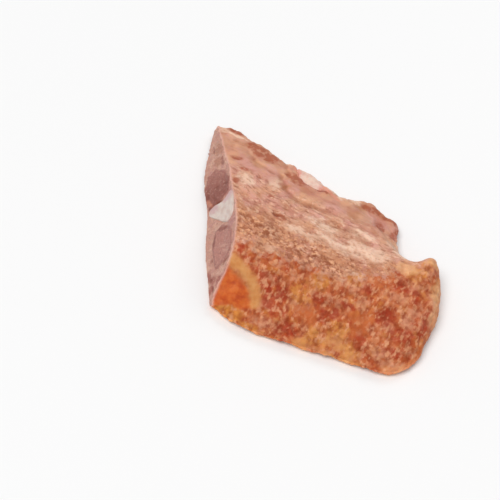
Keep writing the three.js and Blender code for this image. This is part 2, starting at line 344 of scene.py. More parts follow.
# Patches on the crust: place and half sizes, and some with a turn in degrees. First those of
# the browned front.
SPECKLED_FAT = (((-27, -74), (14, 7)), ((-38, -76), (8, 6)), ((-10, -78), (10, 4)))
RED_PATCHES = (
    ((-30, -41), (5, 3)), ((-39, -38), (6, 5)), ((-11, -50), (11, 4), -25), ((2, -50), (6, 6)),
    ((5, -61), (7, 5)), ((19, -68), (7, 5)), ((26, -41), (5, 5)), ((0, -57), (9, 5)),
    ((7, -70), (8, 4)), ((-19, -45), (7, 4)), ((48, -37), (7, 3)), ((41, -47), (4, 5)),
    ((35, -50), (5, 6)), ((66, -55), (6, 6)), ((75, -31), (8, 8)), ((90, -39), (11, 7)),
    ((92, -50), (6, 4)), ((76, -6), (7, 6)), ((88, -8), (4, 7)), ((69, 6), (5, 3)),
    ((57, -20), (6, 5)), ((102, -22), (3, 15)), ((-20, -73), (8, 3), -10),
)
AMBER_PATCHES = (
    ((14, -46), (9, 6)), ((24, -31), (8, 8)), ((43, -15), (8, 8)), ((47, -54), (10, 7)),
    ((62, -61), (9, 6)), ((57, -74), (15, 8)), ((35, -66), (9, 7)), ((82, 9), (8, 8)),
    ((88, 24), (7, 7)), ((-27, -71), (8, 5)), ((-22, -77), (6, 3)), ((101, 12), (6, 12)),
)
SMOOTH_ORANGE = (
    ((24, -54), (10, 7)), ((55, -41), (8, 5)), ((62, -50), (7, 7)), ((64, -41), (5, 5)),
)
SOFT_AMBER = (((53, -63), (12, 6)), ((66, -71), (16, 6)), ((29, -72), (8, 5)))
PINKISH_PATCHES = (
    ((-13, -44), (6, 3)), ((79, -15), (7, 5)), ((80, -37), (6, 4)), ((82, -54), (5, 4)),
    ((90, -27), (7, 5)), ((-3, -71), (11, 4)), ((-2, -60), (6, 3)), ((56, -32), (4, 6)),
    ((50, -61), (5, 5)), ((92, -60), (9, 4)), ((91, -19), (7, 4)), ((84, 0), (8, 6)),
    ((101, 2), (7, 14)), ((89, 22), (8, 8)), ((44, -20), (12, 6)), ((66, -73), (12, 5)),
    ((104, -14), (6, 10)), ((100, -60), (7, 7)), ((78, 12), (7, 8)),
)
# Pale patches: pale tissue at the right end, and painted light along the bottom of the front, where
# its side faces lie in shade.
PALE_AND_LIT_PATCHES = (
    ((103, 9), (7, 17)), ((90, 26), (8, 5)), ((62, -77), (26, 7)), ((-26, -84), (16, 6)),
    ((103, -62), (7, 9)), ((106, -12), (4, 8)), ((74, 11), (9, 6)),
)

# Those of the mottled band and the paler back.
DARK_MOTTLES = (((4, -15), (16, 10)), ((24, -19), (13, 7)), ((-30, -14), (12, 6)))
BROWN_PATCHES = (
    ((-73, 67), (6, 6)), ((-64, 69), (9, 4)), ((-55, 64), (7, 6)), ((-31, 54), (9, 7), -35),
    ((-77, 46), (6, 3)), ((-66, 36), (5, 2.5)), ((-90, 77), (9, 3)), ((-24, 2), (6, 4)),
    ((-29, 5), (4, 4)), ((56, 48), (4, 11), -20), ((48, 58), (9, 3)), ((33, 61), (7, 5)),
    ((43, 43), (5, 7)), ((-12, 53), (14, 2.5)), ((-68, 21), (3, 4)), ((-39, 19), (4, 2)),
    ((56, 60), (9, 6)), ((-64, 62), (7, 4)), ((28, 60), (7, 3)),
)
PINK_PATCHES = (
    ((-50, 46), (8, 12)), ((-62, 40), (8, 6)), ((-30, 30), (6, 7)), ((68, 13), (7, 4)),
    ((23, 29), (6, 4)), ((-16, 54), (13, 3)),
)
CREAM_PATCHES = (
    ((-6, -3), (20, 5)), ((5, 15), (13, 7)), ((45, 10), (19, 8)), ((-62, 27), (10, 7)),
    ((25, 3), (20, 7)), ((34, 24), (10, 5)), ((66, 22), (6, 7)), ((-101, 74), (5, 4)),
    ((-88, 72), (10, 1.4), -4), ((7, 55), (5, 6)), ((18, 60), (5, 3)), ((-19, -26), (10, 3)),
    ((60, 30), (8, 7)), ((-25, -12), (10, 5)), ((-42, 38), (6, 7)), ((-42, 70), (4, 5)),
    ((-4, 60), (7, 5)), ((41, -13), (8, 4)),
)
RIB_TISSUE = (((-6, 58), (9, 3), -30), ((2, 52), (6, 2.2), -30))
SMOOTH_BACK = (
    ((-75, 52), (15, 15)), ((-22, 42), (15, 9)), ((23, 45), (13, 10)), ((45, 32), (15, 9)),
)

# Masks that are just patches, by name, and the patches that hold few flecks and crags.
PATCH_MASKS = {
    "speckled": SPECKLED_FAT,
    "red": RED_PATCHES,
    "amber": AMBER_PATCHES,
    "smooth_orange": SMOOTH_ORANGE,
    "soft_amber": SOFT_AMBER,
    "pinkish": PINKISH_PATCHES,
    "pale": PALE_AND_LIT_PATCHES,
    "brown": BROWN_PATCHES,
    "pink": PINK_PATCHES,
    "cream": CREAM_PATCHES,
}
CALM_PATCHES = SMOOTH_ORANGE + SMOOTH_BACK + SOFT_AMBER
CALM_SHARE = 0.65

# Flaps, each a line with the higher side on its left: the step's height and its reach.
FLAPS = (
    (np.array([(-40, 49), (-36, 44), (-30, 36), (-20, 31.5), (-8, 32), (2, 34)]), 0.9, 5),
    (np.array([(-43, 66), (-40, 60), (-37, 57)]), 0.7, 4),
    (np.array([(36, 48), (35, 52), (31, 56)]), 0.5, 4),
    (np.array([(-72, 60), (-64, 52), (-56, 50)]), 0.5, 5),
    (np.array([(-60, 14), (-44, 8), (-30, 0)]), 0.45, 5),
    (np.array([(-6, 22), (12, 20), (30, 25), (44, 19)]), 0.5, 4),
    (np.array([(6, 3), (22, 1), (36, 5), (52, 4)]), 0.45, 4),
)
FLAP_EDGE = 1.1  # half the width over which a flap's step rises
FLAP_WANDER = 1.2

# Pits: place, half width across the fibres and depth.
PITS = (
    ((-62, 38), 1.6, 0.7), ((-54, 35), 2.0, 0.8), ((-28, 3), 2.2, 1.1), ((12, 1), 1.6, 0.6),
    ((28, 9), 1.6, 0.6), ((18, 6), 1.5, 0.5), ((13, 21), 3.4, 0.6), ((25, 24), 3.4, 0.6),
    ((39, 18), 3.0, 0.6), ((-49, 47), 2.2, 0.7), ((-87, 66), 1.8, 0.5),
)
PIT_STRETCH = 1.5  # how much longer a pit is along X than it is wide

# Relief heights. The back has folds, fibres, fine fibres and swells, the mottled band pebbles
# and lumps, and the browned front crags, lumps and fine crags. Then the unevenness of the back
# edge, and how far the yellow fat stands out, the orange fat lies back and the rim stands out.
FOLDS = 0.75
FIBRES = 0.34
FINE_FIBRES = 0.2
BACK_SWELLS = 0.2
PEBBLES = 0.42
PEBBLE_LUMPS = 0.4
CRAGS = 0.55
CRAG_LUMPS = 0.75
FINE_CRAGS = 0.36
RAGGED_EDGE = 0.9
YELLOW_RISE = 0.2
ORANGE_SINK = 0.1
RIM_RISE = 0.4


def fibre_frame(points):
    """The points in coordinates along the fibres, across them and up."""
    x, y, z = points.T
    across = y - FIBRE_SLOPE * x - FIBRE_BEND * x * x + FIBRE_WANDER * waves(points, 17, 20.0)
    return np.stack([x, across, z], 1)


def crust_fields(points, normals, edge):
    """Masks over the crust, each from 0 to 1."""
    x, y, z = points.T
    warp = PATCH_WARP * layered(points, 8, 1.0)
    slight = 0.1 * layered(points, 5, 2.0)
    wander = ZONE_WANDER * layered(points, 11, 4.0)
    soft = 1 + 0.8 * smoothstep(20, 55, x)
    browned = smoothstep(-8, 9, (np.interp(x, *BROWN_LINE.T) - y + wander) / soft)
    mottled = smoothstep(-6, 5, np.interp(x, *MOTTLED_LINE.T) - y + wander) * (1 - browned)
    orange = smoothstep(-4.0, 0.5, inside(points, ORANGE_FAT) + 8 * slight)
    band = nearest_on_line(points, YELLOW_BAND)[0] / YELLOW_HALF_WIDTH + 2.5 * slight
    yellow = 1 - smoothstep(0.0, 1.7, band)
    calm = CALM_SHARE * patches(points, CALM_PATCHES, warp)
    calm = np.maximum(np.maximum(calm, orange), yellow)
    right_end = smoothstep(60, 90, x + 0.2 * y) * smoothstep(32, 18, y)
    rim = (1 - smoothstep(0.8, 3.4, edge + 1.4 * layered(points, 8, 3.0))) * right_end
    side = 1 - smoothstep(0.3, 0.75, normals[:, 2])
    spots = {name: patches(points, places, warp) for name, places in PATCH_MASKS.items()}
    fibrous = (1 - 0.8 * calm) * (1 - 0.4 * spots["cream"]) * smoothstep(46, 30, y)
    return {
        **spots,
        "browned": browned,
        "mottled": mottled,
        "dark_mottled": patches(points, DARK_MOTTLES, warp) * mottled,
        "fibrous": (1 - browned) * fibrous,
        "calm": calm,
        "orange": orange,
        "yellow": yellow,
        "rim": rim,
        # The side faces by the floor at the front: their lighter colour is partly a pale rim of the
        # crust and partly painted light where they lie in shade.
        "foot_rim_and_light": side * smoothstep(4.5, 1.0, z) * smoothstep(-40, -55, y),
        # The steep front low down, which shaded_crust lightens with painted light.
        "steep": side * smoothstep(22.0, 10.0, z) * smoothstep(-30, -50, y),
        "under": smoothstep(-0.6, -0.95, normals[:, 2]),
    }


def ledge_groove(points):
    """The height of the groove along the ledge, which fades in from the ledge's left end."""
    start, stop = LEDGE
    length = np.linalg.norm(stop - start)
    line = (stop - start) / length
    from_start = points[:, :2] - start
    along = from_start @ line
    beside = from_start @ np.array([-line[1], line[0]])
    reach = smoothstep(10, 34, along) * (1 - smoothstep(length - 4, length + 4, along))
    return -GROOVE_DEPTH * reach * np.exp(-((beside - GROOVE_PLACE) / GROOVE_HALF_WIDTH) ** 2)


def flap_steps(points):
    """The flaps' steps, each fading out on both sides of its line."""
    total = np.zeros(len(points))
    bent = points + FLAP_WANDER * waves(points, 6, 34.0)[:, None]
    for line, step, reach in FLAPS:
        distance, beside = nearest_on_line(bent, line)
        total += step * np.tanh(beside / FLAP_EDGE) * np.exp(-((distance / reach) ** 2))
    return total


def fine_relief(points, fields):
    """The crust's small forms in millimetres: fibres, pebbles, crags, pits and steps."""
    along = fibre_frame(points)
    fibres = (
        FIBRES * (ridged(along, (16, 3.8, 9), 23.0) - 0.6)
        + FINE_FIBRES * waves(along, (6, 2.2, 4), 24.0))
    pebbles = (
        PEBBLES * waves(points, (4.2, 3.0, 3.0), 25.0)
        + PEBBLE_LUMPS * (lumps(points, 4.4, 26.0) - 0.4))
    crags = (
        CRAGS * layered(points, 9, 27.0) + CRAG_LUMPS * (lumps(points, 5.6, 28.0) - 0.4)
        + FINE_CRAGS * waves(points, 2.6, 29.0))
    swells = BACK_SWELLS * waves(points, 7, 30.0)
    rough = 1 - 0.75 * np.maximum(fields["calm"], 0.6 * fields["rim"])
    fine = (
        fibres * fields["fibrous"] + pebbles * fields["mottled"] * rough
        + crags * fields["browned"] * rough + swells * (1 - fields["browned"]))
    for place, reach, depth in PITS:
        fine = fine - depth * spot(points, place, (PIT_STRETCH * reach, reach))
    return fine + flap_steps(points) + ledge_groove(points)


def broad_relief(points, fields, edge):
    """The crust's wider forms in millimetres: folds, the ragged back edge, fat and rim."""
    folds = FOLDS * layered(fibre_frame(points), (30, 15, 22), 22.0, 2)
    ragged = smoothstep(30, 45, points[:, 1]) * (1 - smoothstep(4, 12, edge))
    broad = folds * (1 - 0.7 * fields["browned"])
    broad = broad + RAGGED_EDGE * ragged * layered(points, 5, 31.0)
    broad = broad + YELLOW_RISE * fields["yellow"] - ORANGE_SINK * fields["orange"]
    return broad + RIM_RISE * fields["rim"]


def crust_relief(points, fields, edge):
    """How far the crust stands out at each point in millimetres, whole and its fine part."""
    shown = 1 - 0.7 * fields["under"]
    fine = fine_relief(points, fields) * shown
    return broad_relief(points, fields, edge) * shown + fine, fine


# ---- The cut face -----------------------------------------------------------------------

# Tissues in the cut: outlines and spots in millimetres along the cut and up its face.
LOWER_MUSCLE = np.array([
    (22, 12), (23, 20), (28, 29), (35, 33), (46, 32), (53, 27), (58, 19), (55, 12), (45, 9), (32, 10)])
UPPER_MUSCLE = np.array([
    (77, 12), (81, 18), (86, 26), (95, 27.5), (103, 24.5), (109, 20), (113, 12), (110, 4), (100, 1),
    (88, 0), (80, 3)])
TIP_LUMPS = (((15, 8), (4, 5)), ((8, 6), (4, 4)), ((12, 15), (4, 3), 40), ((20, 4), (5, 3)))
LILAC_TISSUE = (((55, 31), (6, 6)), ((37, 35), (7, 2)), ((84, 26), (5, 5), 60))
DARK_STREAKS = (
    ((54, 20), (2, 6), 15), ((47, 11), (6, 1.6), 5), ((31, 8), (1.8, 2)), ((94, 23), (3, 1.6), -50),
    ((95, 14), (2.6, 2)), ((80, 14), (2.2, 3)), ((86, 11), (4, 1.4), -40), ((92, 4), (6, 1.6)),
    ((117, 17.5), (3, 1.8), -20), ((122, 17), (2.6, 1.4)), ((8, 8), (2, 1.4)), ((16, 6), (2.4, 2)),
    ((24, 24), (1.4, 5), -25), ((134, 7), (6, 1), -15),
)
BROWN_LENS = (((133, 12), (8, 5), -25), ((120, 13), (6, 4), -25))
PINK_BLOB = (((84, 5), (5, 2.2), -35), ((87, 33), (3.5, 2.5), -35))
PALE_STREAKS = (((38, 22), (1.6, 6), 20), ((33, 24), (1.2, 5), 25), ((19, 18), (2.5, 8), -10))
CUT_FAT_RIM = 1.7  # width of the pale fat just under the crust

# Relief of the cut: how far the fat between the muscles lies back, how far the muscles swell
# out from it, how deep the dark streaks are, and two sizes of unevenness.
FAT_DEPTH = 0.3
MUSCLE_SWELL = 0.7
STREAK_DEPTH = 0.35
CUT_GRAIN = 0.25
CUT_WAVES = 0.3


def cut_fields(face, rim, points):
    """Masks over the cut face, each from 0 to 1."""
    warp = 0.2 * layered(points, 4, 11.0)
    upper = inside(face, UPPER_MUSCLE) + 6 * warp
    lower = inside(face, LOWER_MUSCLE) + 4 * warp
    rim_width = rim + 0.5 * layered(points, 4, 12.0)
    return {
        "upper_muscle": smoothstep(-1.4, 1.4, upper),
        "lower_muscle": smoothstep(-1.4, 1.4, lower),
        "muscle_edge": np.exp(-(((lower - 0.8) / 1.2) ** 2)) * smoothstep(34, 30, face[:, 1]),
        "light_muscle": smoothstep(88, 112, face[:, 0]),
        "tip": patches(face, TIP_LUMPS, warp),
        "lilac": patches(face, LILAC_TISSUE, warp),
        "dark_streak": patches(face, DARK_STREAKS, 1.5 * warp),
        "brown_lens": patches(face, BROWN_LENS, warp),
        "pink_blob": patches(face, PINK_BLOB, warp),
        "pale_streak": patches(face, PALE_STREAKS, warp),
        "fat_rim": 1 - smoothstep(CUT_FAT_RIM * 0.5, CUT_FAT_RIM * 1.4, rim_width),
    }


def cut_relief(fields, points):
    """How far the cut face stands out at each point in millimetres."""
    muscle = np.maximum(fields["upper_muscle"], fields["lower_muscle"])
    inner = MUSCLE_SWELL * muscle - FAT_DEPTH - STREAK_DEPTH * fields["dark_streak"]
    uneven = CUT_GRAIN * layered(points, 3.0, 13.0) + CUT_WAVES * layered(points, 9.0, 14.0, 2)
    return (1 - fields["fat_rim"]) * inner + uneven


# ---- The meat ---------------------------------------------------------------------------

def settle_meat(mesh):
    """Flattens the cut, smooths the rest and sinks the meat under the rib's end.

    Gives back the points, and how far each is on the cut, the plate's end and the rib's end.
    """
    points = mesh_points(mesh)
    _, out = cut_coordinates(points)
    on_cut = 1 - smoothstep(0.7, 1.2, -out)
    points = points - np.outer(np.maximum(out, 0), CUT_OUT)
    on_plate = on_cut * smoothstep(1.3, 0.7, node_distance(points, "gristle_plate"))
    on_rib = smoothstep(1.25, 0.8, node_distance(points, "rib_end"))
    on_rib = on_rib * smoothstep(45, 50, points[:, 1])
    points = smoothed(mesh, points, MEAT_SMOOTHING, 1 - np.maximum(on_cut, on_rib))
    set_points(mesh, points)
    points = points - mesh_normals(mesh) * (RIB_DROP * on_rib)[:, None]
    points = smoothed(mesh, points, RIB_SEAT_SMOOTHING, 1 - on_cut)
    set_points(mesh, points)
    return points, on_cut, on_plate, on_rib


def meat_fields(points, normals, on_cut):
    """The masks of the crust and of the cut, and the distance to the slab's edge in plan."""
    plan = points * np.array([1, 1, 0])
    edge = nearest(plan, plan[(np.abs(normals[:, 2]) < 0.3) & (on_cut < 0.5)])
    rim = nearest(points, points[(on_cut < 0.5) & (normals[:, 2] > 0.1)])
    face_place, _ = cut_coordinates(points)
    return crust_fields(points, normals, edge), cut_fields(face_place, rim, points), edge


def spread(mesh, values, rounds):
    """A number at each point, evened out with its neighbours'."""
    return smoothed(mesh, values[:, None], rounds)[:, 0]


def make_meat():
    sources = (("meat", 0), ("gristle_plate", POCKET_FILL), ("rib_end", POCKET_FILL))
    mesh = voxel_copy("meat_slab", sources, MEAT_VOXEL)
    points, on_cut, on_plate, on_rib = settle_meat(mesh)
    normals = mesh_normals(mesh)
    crust, face, edge = meat_fields(points, normals, on_cut)

    cut = spread(mesh, on_cut, 1)
    crust_out = smoothed(mesh, normals, 6)
    crust_out /= np.linalg.norm(crust_out, axis=1)[:, None]
    near_cut = smoothstep(0.0, RELIEF_FADE, nearest(points, points[on_cut > 0.5]))
    near_rib = spread(mesh, on_rib, 6)
    relief, fine = crust_relief(points, crust, edge)
    move = crust_out * (relief * near_cut * (1 - near_rib) * (1 - cut))[:, None]
    cut_move = cut_relief(face, points) * cut * (1 - on_plate) - PLATE_DROP * on_plate
    moved = points + move + np.outer(cut_move, CUT_OUT)
    moved[:, 2] = np.maximum(moved[:, 2], 0.0)
    set_points(mesh, moved)

    rib_rim = smoothstep(0.01, 0.15, spread(mesh, on_rib, 16))
    masks = {
        **crust,
        **face,
        "cut": cut,
        "rib_rim": np.maximum(rib_rim, patches(moved, RIB_TISSUE)),
        "relief": fine,
        "fibre_across": fibre_frame(points)[:, 1],
    }
    for name, values in masks.items():
        store(mesh, name, values)
    return add_object("meat_slab", mesh)


# ---- Materials --------------------------------------------------------------------------

def tint(red, green, blue):
    """A colour as the photograph shows it (0 to 255), as the surface's own colour."""
    values = []
    for value in (red, green, blue):
        value = value / 255
        values.append(value / 12.92 if value <= 0.04045 else ((value + 0.055) / 1.055) ** 2.4)
    return (*values, 1)


class Shade:
    """A material being wired up: each method adds a node and gives back its output."""

    def __init__(self, name):
        self.material = bpy.data.materials.new(name)
        self.material.use_nodes = True
        self.tree = self.material.node_tree
        self.shader = self.tree.nodes["Principled BSDF"]
        self.place = self.node("ShaderNodeTexCoord").outputs["Object"]

    def node(self, kind, **settings):
        node = self.tree.nodes.new(kind)
        for key, value in settings.items():
            setattr(node, key, value)
        return node

    def feed(self, socket, value):
        """Links another node's output to a socket, or sets a plain value on it."""
        if isinstance(value, bpy.types.NodeSocket):
            self.tree.links.new(value, socket)
        else:
            socket.default_value = value

    def mask(self, name):
        """The number that store() keeps at each point under this name."""
        return self.node("ShaderNodeAttribute", attribute_name=name).outputs["Fac"]

    def fibre_place(self):
        """The place with its Y along the fibre frame's, so that noise follows the fibres."""
        apart = self.node("ShaderNodeSeparateXYZ")
        self.feed(apart.inputs["Vector"], self.place)
        joined = self.node("ShaderNodeCombineXYZ")
        self.feed(joined.inputs["X"], apart.outputs["X"])
        self.feed(joined.inputs["Y"], self.math("MULTIPLY", self.mask("fibre_across"), MM))
        self.feed(joined.inputs["Z"], apart.outputs["Z"])
        return joined.outputs["Vector"]

    def noise(self, size, detail=3.0, roughness=0.55, stretch=(1, 1, 1), shift=0.0, place=None):
        """Noise with lumps of a size in millimetres, longer along the axes that stretch says."""
        mapping = self.node("ShaderNodeMapping")
        self.feed(mapping.inputs["Vector"], place or self.place)
        mapping.inputs["Scale"].default_value = [1 / (size * MM * k) for k in stretch]
        mapping.inputs["Location"].default_value = (shift, shift, shift)
        noise_node = self.node("ShaderNodeTexNoise")
        self.feed(noise_node.inputs["Vector"], mapping.outputs["Vector"])
        noise_node.inputs["Scale"].default_value = 1
        noise_node.inputs["Detail"].default_value = detail
        noise_node.inputs["Roughness"].default_value = roughness
        return noise_node.outputs["Fac"]

    def ramp(self, value, stops):
        node = self.node("ShaderNodeValToRGB")
        elements = node.color_ramp.elements
        while len(elements) < len(stops):
            elements.new(0.5)
        for element, (position, colour) in zip(elements, stops):
            element.position = position
            element.color = colour
        self.feed(node.inputs["Fac"], value)
        return node.outputs["Color"]

    def range(self, value, low, high, to_low=0.0, to_high=1.0):
        """A value from low to high, turned smoothly into one between two others."""
        node = self.node("ShaderNodeMapRange", interpolation_type="SMOOTHSTEP")
        for socket, number in zip(list(node.inputs)[:5], (value, low, high, to_low, to_high)):
            self.feed(socket, number)
        return node.outputs["Result"]

    def math(self, operation, *values):
        node = self.node("ShaderNodeMath", operation=operation)
        for socket, value in zip(node.inputs, values):
            self.feed(socket, value)
        return node.outputs["Value"]

    def mix(self, share, a, b, mode="MIX"):
        node = self.node("ShaderNodeMix", data_type="RGBA", blend_type=mode)
        self.feed(node.inputs[0], share)
        self.feed(node.inputs[6], a)
        self.feed(node.inputs[7], b)
        return node.outputs[2]

    def warped(self, amount, size):
        """The place pushed about by noise, by up to half the amount in millimetres."""
        noise_node = self.node("ShaderNodeTexNoise")
        self.feed(noise_node.inputs["Vector"], self.place)
        noise_node.inputs["Scale"].default_value = 1 / (size * MM)
        scaled = self.node("ShaderNodeVectorMath", operation="MULTIPLY_ADD")
        self.feed(scaled.inputs[0], noise_node.outputs["Color"])
        scaled.inputs[1].default_value = (amount * MM,) * 3
        self.feed(scaled.inputs[2], self.place)
        return scaled.outputs["Vector"]

    def cells(self, size, place):
        """A random number from 0 to 1 for each of many cells of a size in millimetres."""
        cell_node = self.node("ShaderNodeTexVoronoi")
        self.feed(cell_node.inputs["Vector"], place)
        cell_node.inputs["Scale"].default_value = 1 / (size * MM)
        apart = self.node("ShaderNodeSeparateColor")
        self.feed(apart.inputs["Color"], cell_node.outputs["Color"])
        return apart.outputs["Red"]

    def blend(self, colour, *layers):
        """A colour with others over it, each where its noise passes from low to high."""
        for patch, noise_value, low, high, share in layers:
            colour = self.mix(self.range(noise_value, low, high, 0.0, share), colour, patch)
        return colour

    def flecks(self, colour, patch, noise_value, low, high, share, where):
        """A layer of blend() that only shows as far as another value allows."""
        shown = self.math("MULTIPLY", self.range(noise_value, low, high, 0.0, share), where)
        return self.mix(shown, colour, patch)

    def patched(self, colour, uneven, *layers):
        """A colour with masked patches over it, which a noise round 1 makes uneven."""
        for name, patch, share in layers:
            shown = self.math("MULTIPLY", self.mask(name), uneven)
            colour = self.mix(self.range(shown, 0.0, 1.0, 0.0, share), colour, patch)
        return colour

    def bump(self, height, distance, strength=1.0):
        node = self.node("ShaderNodeBump")
        node.inputs["Distance"].default_value = distance * MM
        node.inputs["Strength"].default_value = strength
        self.feed(node.inputs["Height"], height)
        self.feed(self.shader.inputs["Normal"], node.outputs["Normal"])


def back_colour(shade):
    """The paler back: soft pink and brown patches."""
    return shade.blend(
        tint(208, 155, 128),
        (tint(212, 154, 142), shade.noise(18, 3, 0.5, shift=1), 0.42, 0.66, 0.85),
        (tint(190, 128, 92), shade.noise(14, 3, 0.5, shift=2), 0.46, 0.7, 0.8),
        (tint(223, 167, 133), shade.noise(15, 3, 0.5, shift=3), 0.46, 0.7, 0.8),
        (tint(196, 130, 116), shade.noise(12, 3, 0.5, shift=27), 0.5, 0.7, 0.55),
        (tint(180, 116, 88), shade.noise(4, 4, 0.65, (1.6, 1, 1), 4), 0.56, 0.7, 0.5))


def flecked_back(shade, colour, swirled):
    """Dark and light flecks: streaks along the fibres, and mottles beside the browned front."""
    fibres = shade.fibre_place()
    fibrous, mottled = shade.mask("fibrous"), shade.mask("mottled")
    dark = shade.noise(2.4, 4, 0.68, (2.0, 1, 2), 5, fibres)
    light = shade.noise(2.6, 4, 0.68, (1.9, 1, 2), 6, fibres)
    colour = shade.flecks(colour, tint(162, 102, 78), dark, 0.51, 0.64, 0.75, fibrous)
    colour = shade.flecks(colour, tint(240, 196, 168), light, 0.52, 0.65, 0.7, fibrous)
    dark = shade.noise(3.4, 3, 0.6, (1.3, 1, 1), 9, swirled)
    light = shade.noise(3.0, 3, 0.6, (1.3, 1, 1), 10)
    colour = shade.flecks(colour, tint(152, 86, 58), dark, 0.42, 0.58, 0.8, shade.mask("dark_mottled"))
    colour = shade.flecks(colour, tint(154, 86, 56), dark, 0.51, 0.62, 0.7, mottled)
    return shade.flecks(colour, tint(236, 178, 138), light, 0.52, 0.64, 0.75, mottled)


def browned_colour(shade, swirled):
    """The browned front: chunks of brown, red-brown and pinkish tan."""
    chunks = shade.cells(6.0, swirled)
    return shade.blend(
        tint(194, 104, 60),
        (tint(170, 70, 34), chunks, 0.6, 0.9, 0.5),
        (tint(210, 142, 102), chunks, 0.42, 0.12, 0.5),
        (tint(162, 50, 22), shade.noise(8, 4, 0.6, (1, 1.4, 1.2), 11), 0.47, 0.65, 0.7),
        (tint(208, 134, 62), shade.noise(10, 4, 0.6, shift=12), 0.5, 0.68, 0.5),
        (tint(212, 148, 116), shade.noise(6, 4, 0.6, (1, 1.4, 1.2), 13), 0.48, 0.66, 0.65))


def patched_back(shade, uneven):
    return shade.patched(
        back_colour(shade), uneven, ("cream", tint(240, 204, 180), 0.85),
        ("pink", tint(216, 158, 148), 0.65), ("brown", tint(162, 78, 50), 0.78),
        ("mottled", tint(196, 132, 94), 0.6), ("rib_rim", tint(228, 152, 130), 0.8))


def patched_front(shade, swirled, uneven):
    return shade.patched(
        browned_colour(shade, swirled), uneven, ("pinkish", tint(214, 152, 120), 0.55),
        ("smooth_orange", tint(198, 102, 48), 0.55), ("amber", tint(210, 138, 68), 0.75),
        ("red", tint(166, 48, 22), 0.75), ("soft_amber", tint(216, 150, 88), 0.65))


def with_fat(shade, colour):
    """The fat beside the cut's front end."""
    fat = shade.noise(7.0, 3, 0.6, shift=28)
    orange = shade.ramp(
        fat, ((0.38, tint(188, 74, 28)), (0.5, tint(204, 92, 36)), (0.62, tint(216, 110, 46))))
    yellow = shade.ramp(fat, ((0.38, tint(206, 138, 76)), (0.62, tint(216, 156, 96))))
    return shade.patched(
        colour, 1.0, ("speckled", tint(218, 144, 64), 0.75), ("orange", orange, 0.92),
        ("yellow", yellow, 0.9))


def front_flecks(shade, colour, browned):
    """Dark and light flecks over the browned front, few where it is calm; the light ones are partly
    painted highlights.
    """
    rough = shade.range(shade.mask("calm"), 0.1, 0.9, 1.0, 0.0)
    rough = shade.math("MULTIPLY", rough, browned)
    dark = shade.noise(3.6, 2, 0.5, (1, 1.6, 1.3), 15)
    light = shade.noise(3.2, 2, 0.5, (1, 1.6, 1.3), 16)
    colour = shade.flecks(colour, tint(150, 56, 26), dark, 0.48, 0.68, 0.6, rough)
    # Light flecks: pale specks of the crust, with painted highlights among them for its small glints.
    return shade.flecks(colour, tint(228, 166, 126), light, 0.5, 0.7, 0.7, rough)


def shaded_crust(shade, colour):
    """Painted shade darkens and reddens the relief's recesses; painted light lightens its crests and
    the steep front.
    """
    deep = shade.range(shade.mask("relief"), -1.0, 0.5)
    # Painted shade: colour darker and redder in the relief's recesses, a little lighter on its crests.
    painted_hollow_shade = shade.ramp(deep, ((0, (0.7, 0.57, 0.5, 1)), (1, (1.05, 1.05, 1.05, 1))))
    colour = shade.mix(1.0, colour, painted_hollow_shade, "MULTIPLY")
    # Painted light: the steep front's colour made up to 1.4 times lighter, where its faces lie in
    # shade.
    steep_painted_light = shade.range(shade.mask("steep"), 0, 1, 1.0, 1.4)
    return shade.mix(1.0, colour, steep_painted_light, "MULTIPLY")


def crust_colour(shade):
    """The whole crust: browned where its mask and an uneven noise add up to enough."""
    swirled = shade.warped(5.0, 6.0)
    uneven = shade.range(shade.noise(4.0, 4, 0.6, shift=14), 0.3, 0.7, 0.4, 1.6)
    weighed = shade.math("MULTIPLY_ADD", shade.mask("browned"), 1.9, -1.45)
    browned = shade.range(shade.math("ADD", weighed, uneven), 0.0, 1.0)
    back = flecked_back(shade, patched_back(shade, uneven), swirled)
    colour = shade.mix(browned, back, patched_front(shade, swirled, uneven))
    colour = front_flecks(shade, with_fat(shade, colour), browned)
    colour = shade.patched(
        # Pale patches: partly pale tissue, partly painted light along the bottom of the front.
        colour, uneven, ("pale", tint(238, 184, 136), 0.65), ("rim", tint(222, 126, 66), 0.4),
        # Along the bottom of the front: a pale rim, with painted light over side faces that lie in
        # shade.
        ("foot_rim_and_light", tint(234, 176, 112), 0.85), ("under", tint(198, 140, 112), 0.8))
    return shaded_crust(shade, colour)


def cut_colour(shade):
    """The cut: tissue with muscles and streaks in it, marbling, grain and a rim of fat."""
    uneven = shade.range(shade.noise(3.0, 4, 0.65, shift=17), 0.3, 0.7, 0.7, 1.5)
    muscle = shade.mix(shade.mask("light_muscle"), tint(142, 86, 78), tint(166, 112, 102))
    colour = shade.blend(
        tint(196, 146, 130),
        (tint(214, 172, 152), shade.noise(6, 3, 0.55, shift=18), 0.46, 0.66, 0.7),
        (tint(188, 134, 128), shade.noise(5, 3, 0.6, shift=19), 0.5, 0.68, 0.7))
    colour = shade.patched(
        colour, uneven, ("tip", tint(158, 90, 80), 0.75), ("brown_lens", tint(174, 122, 100), 0.7),
        ("lilac", tint(184, 130, 126), 0.75), ("lower_muscle", tint(180, 126, 116), 0.9),
        ("upper_muscle", muscle, 0.95), ("muscle_edge", tint(150, 98, 90), 0.5),
        ("pale_streak", tint(208, 162, 144), 0.5), ("dark_streak", tint(126, 70, 60), 0.55),
        ("pink_blob", tint(208, 138, 114), 0.75))
    marbling = shade.noise(2.2, 5, 0.7, (1, 1, 1.6), 20)
    grain = shade.noise(1.0, 3, 0.65, shift=21)
    colour = shade.blend(
        colour,
        (tint(220, 180, 162), marbling, 0.56, 0.68, 0.5),
        (tint(126, 72, 64), marbling, 0.44, 0.32, 0.4))
    colour = shade.mix(1.0, colour, shade.range(grain, 0.3, 0.7, 0.79, 1.08), "MULTIPLY")
    rim = shade.range(shade.mask("fat_rim"), 0.2, 0.8, 0, 0.85)
    return shade.mix(rim, colour, tint(222, 172, 156))


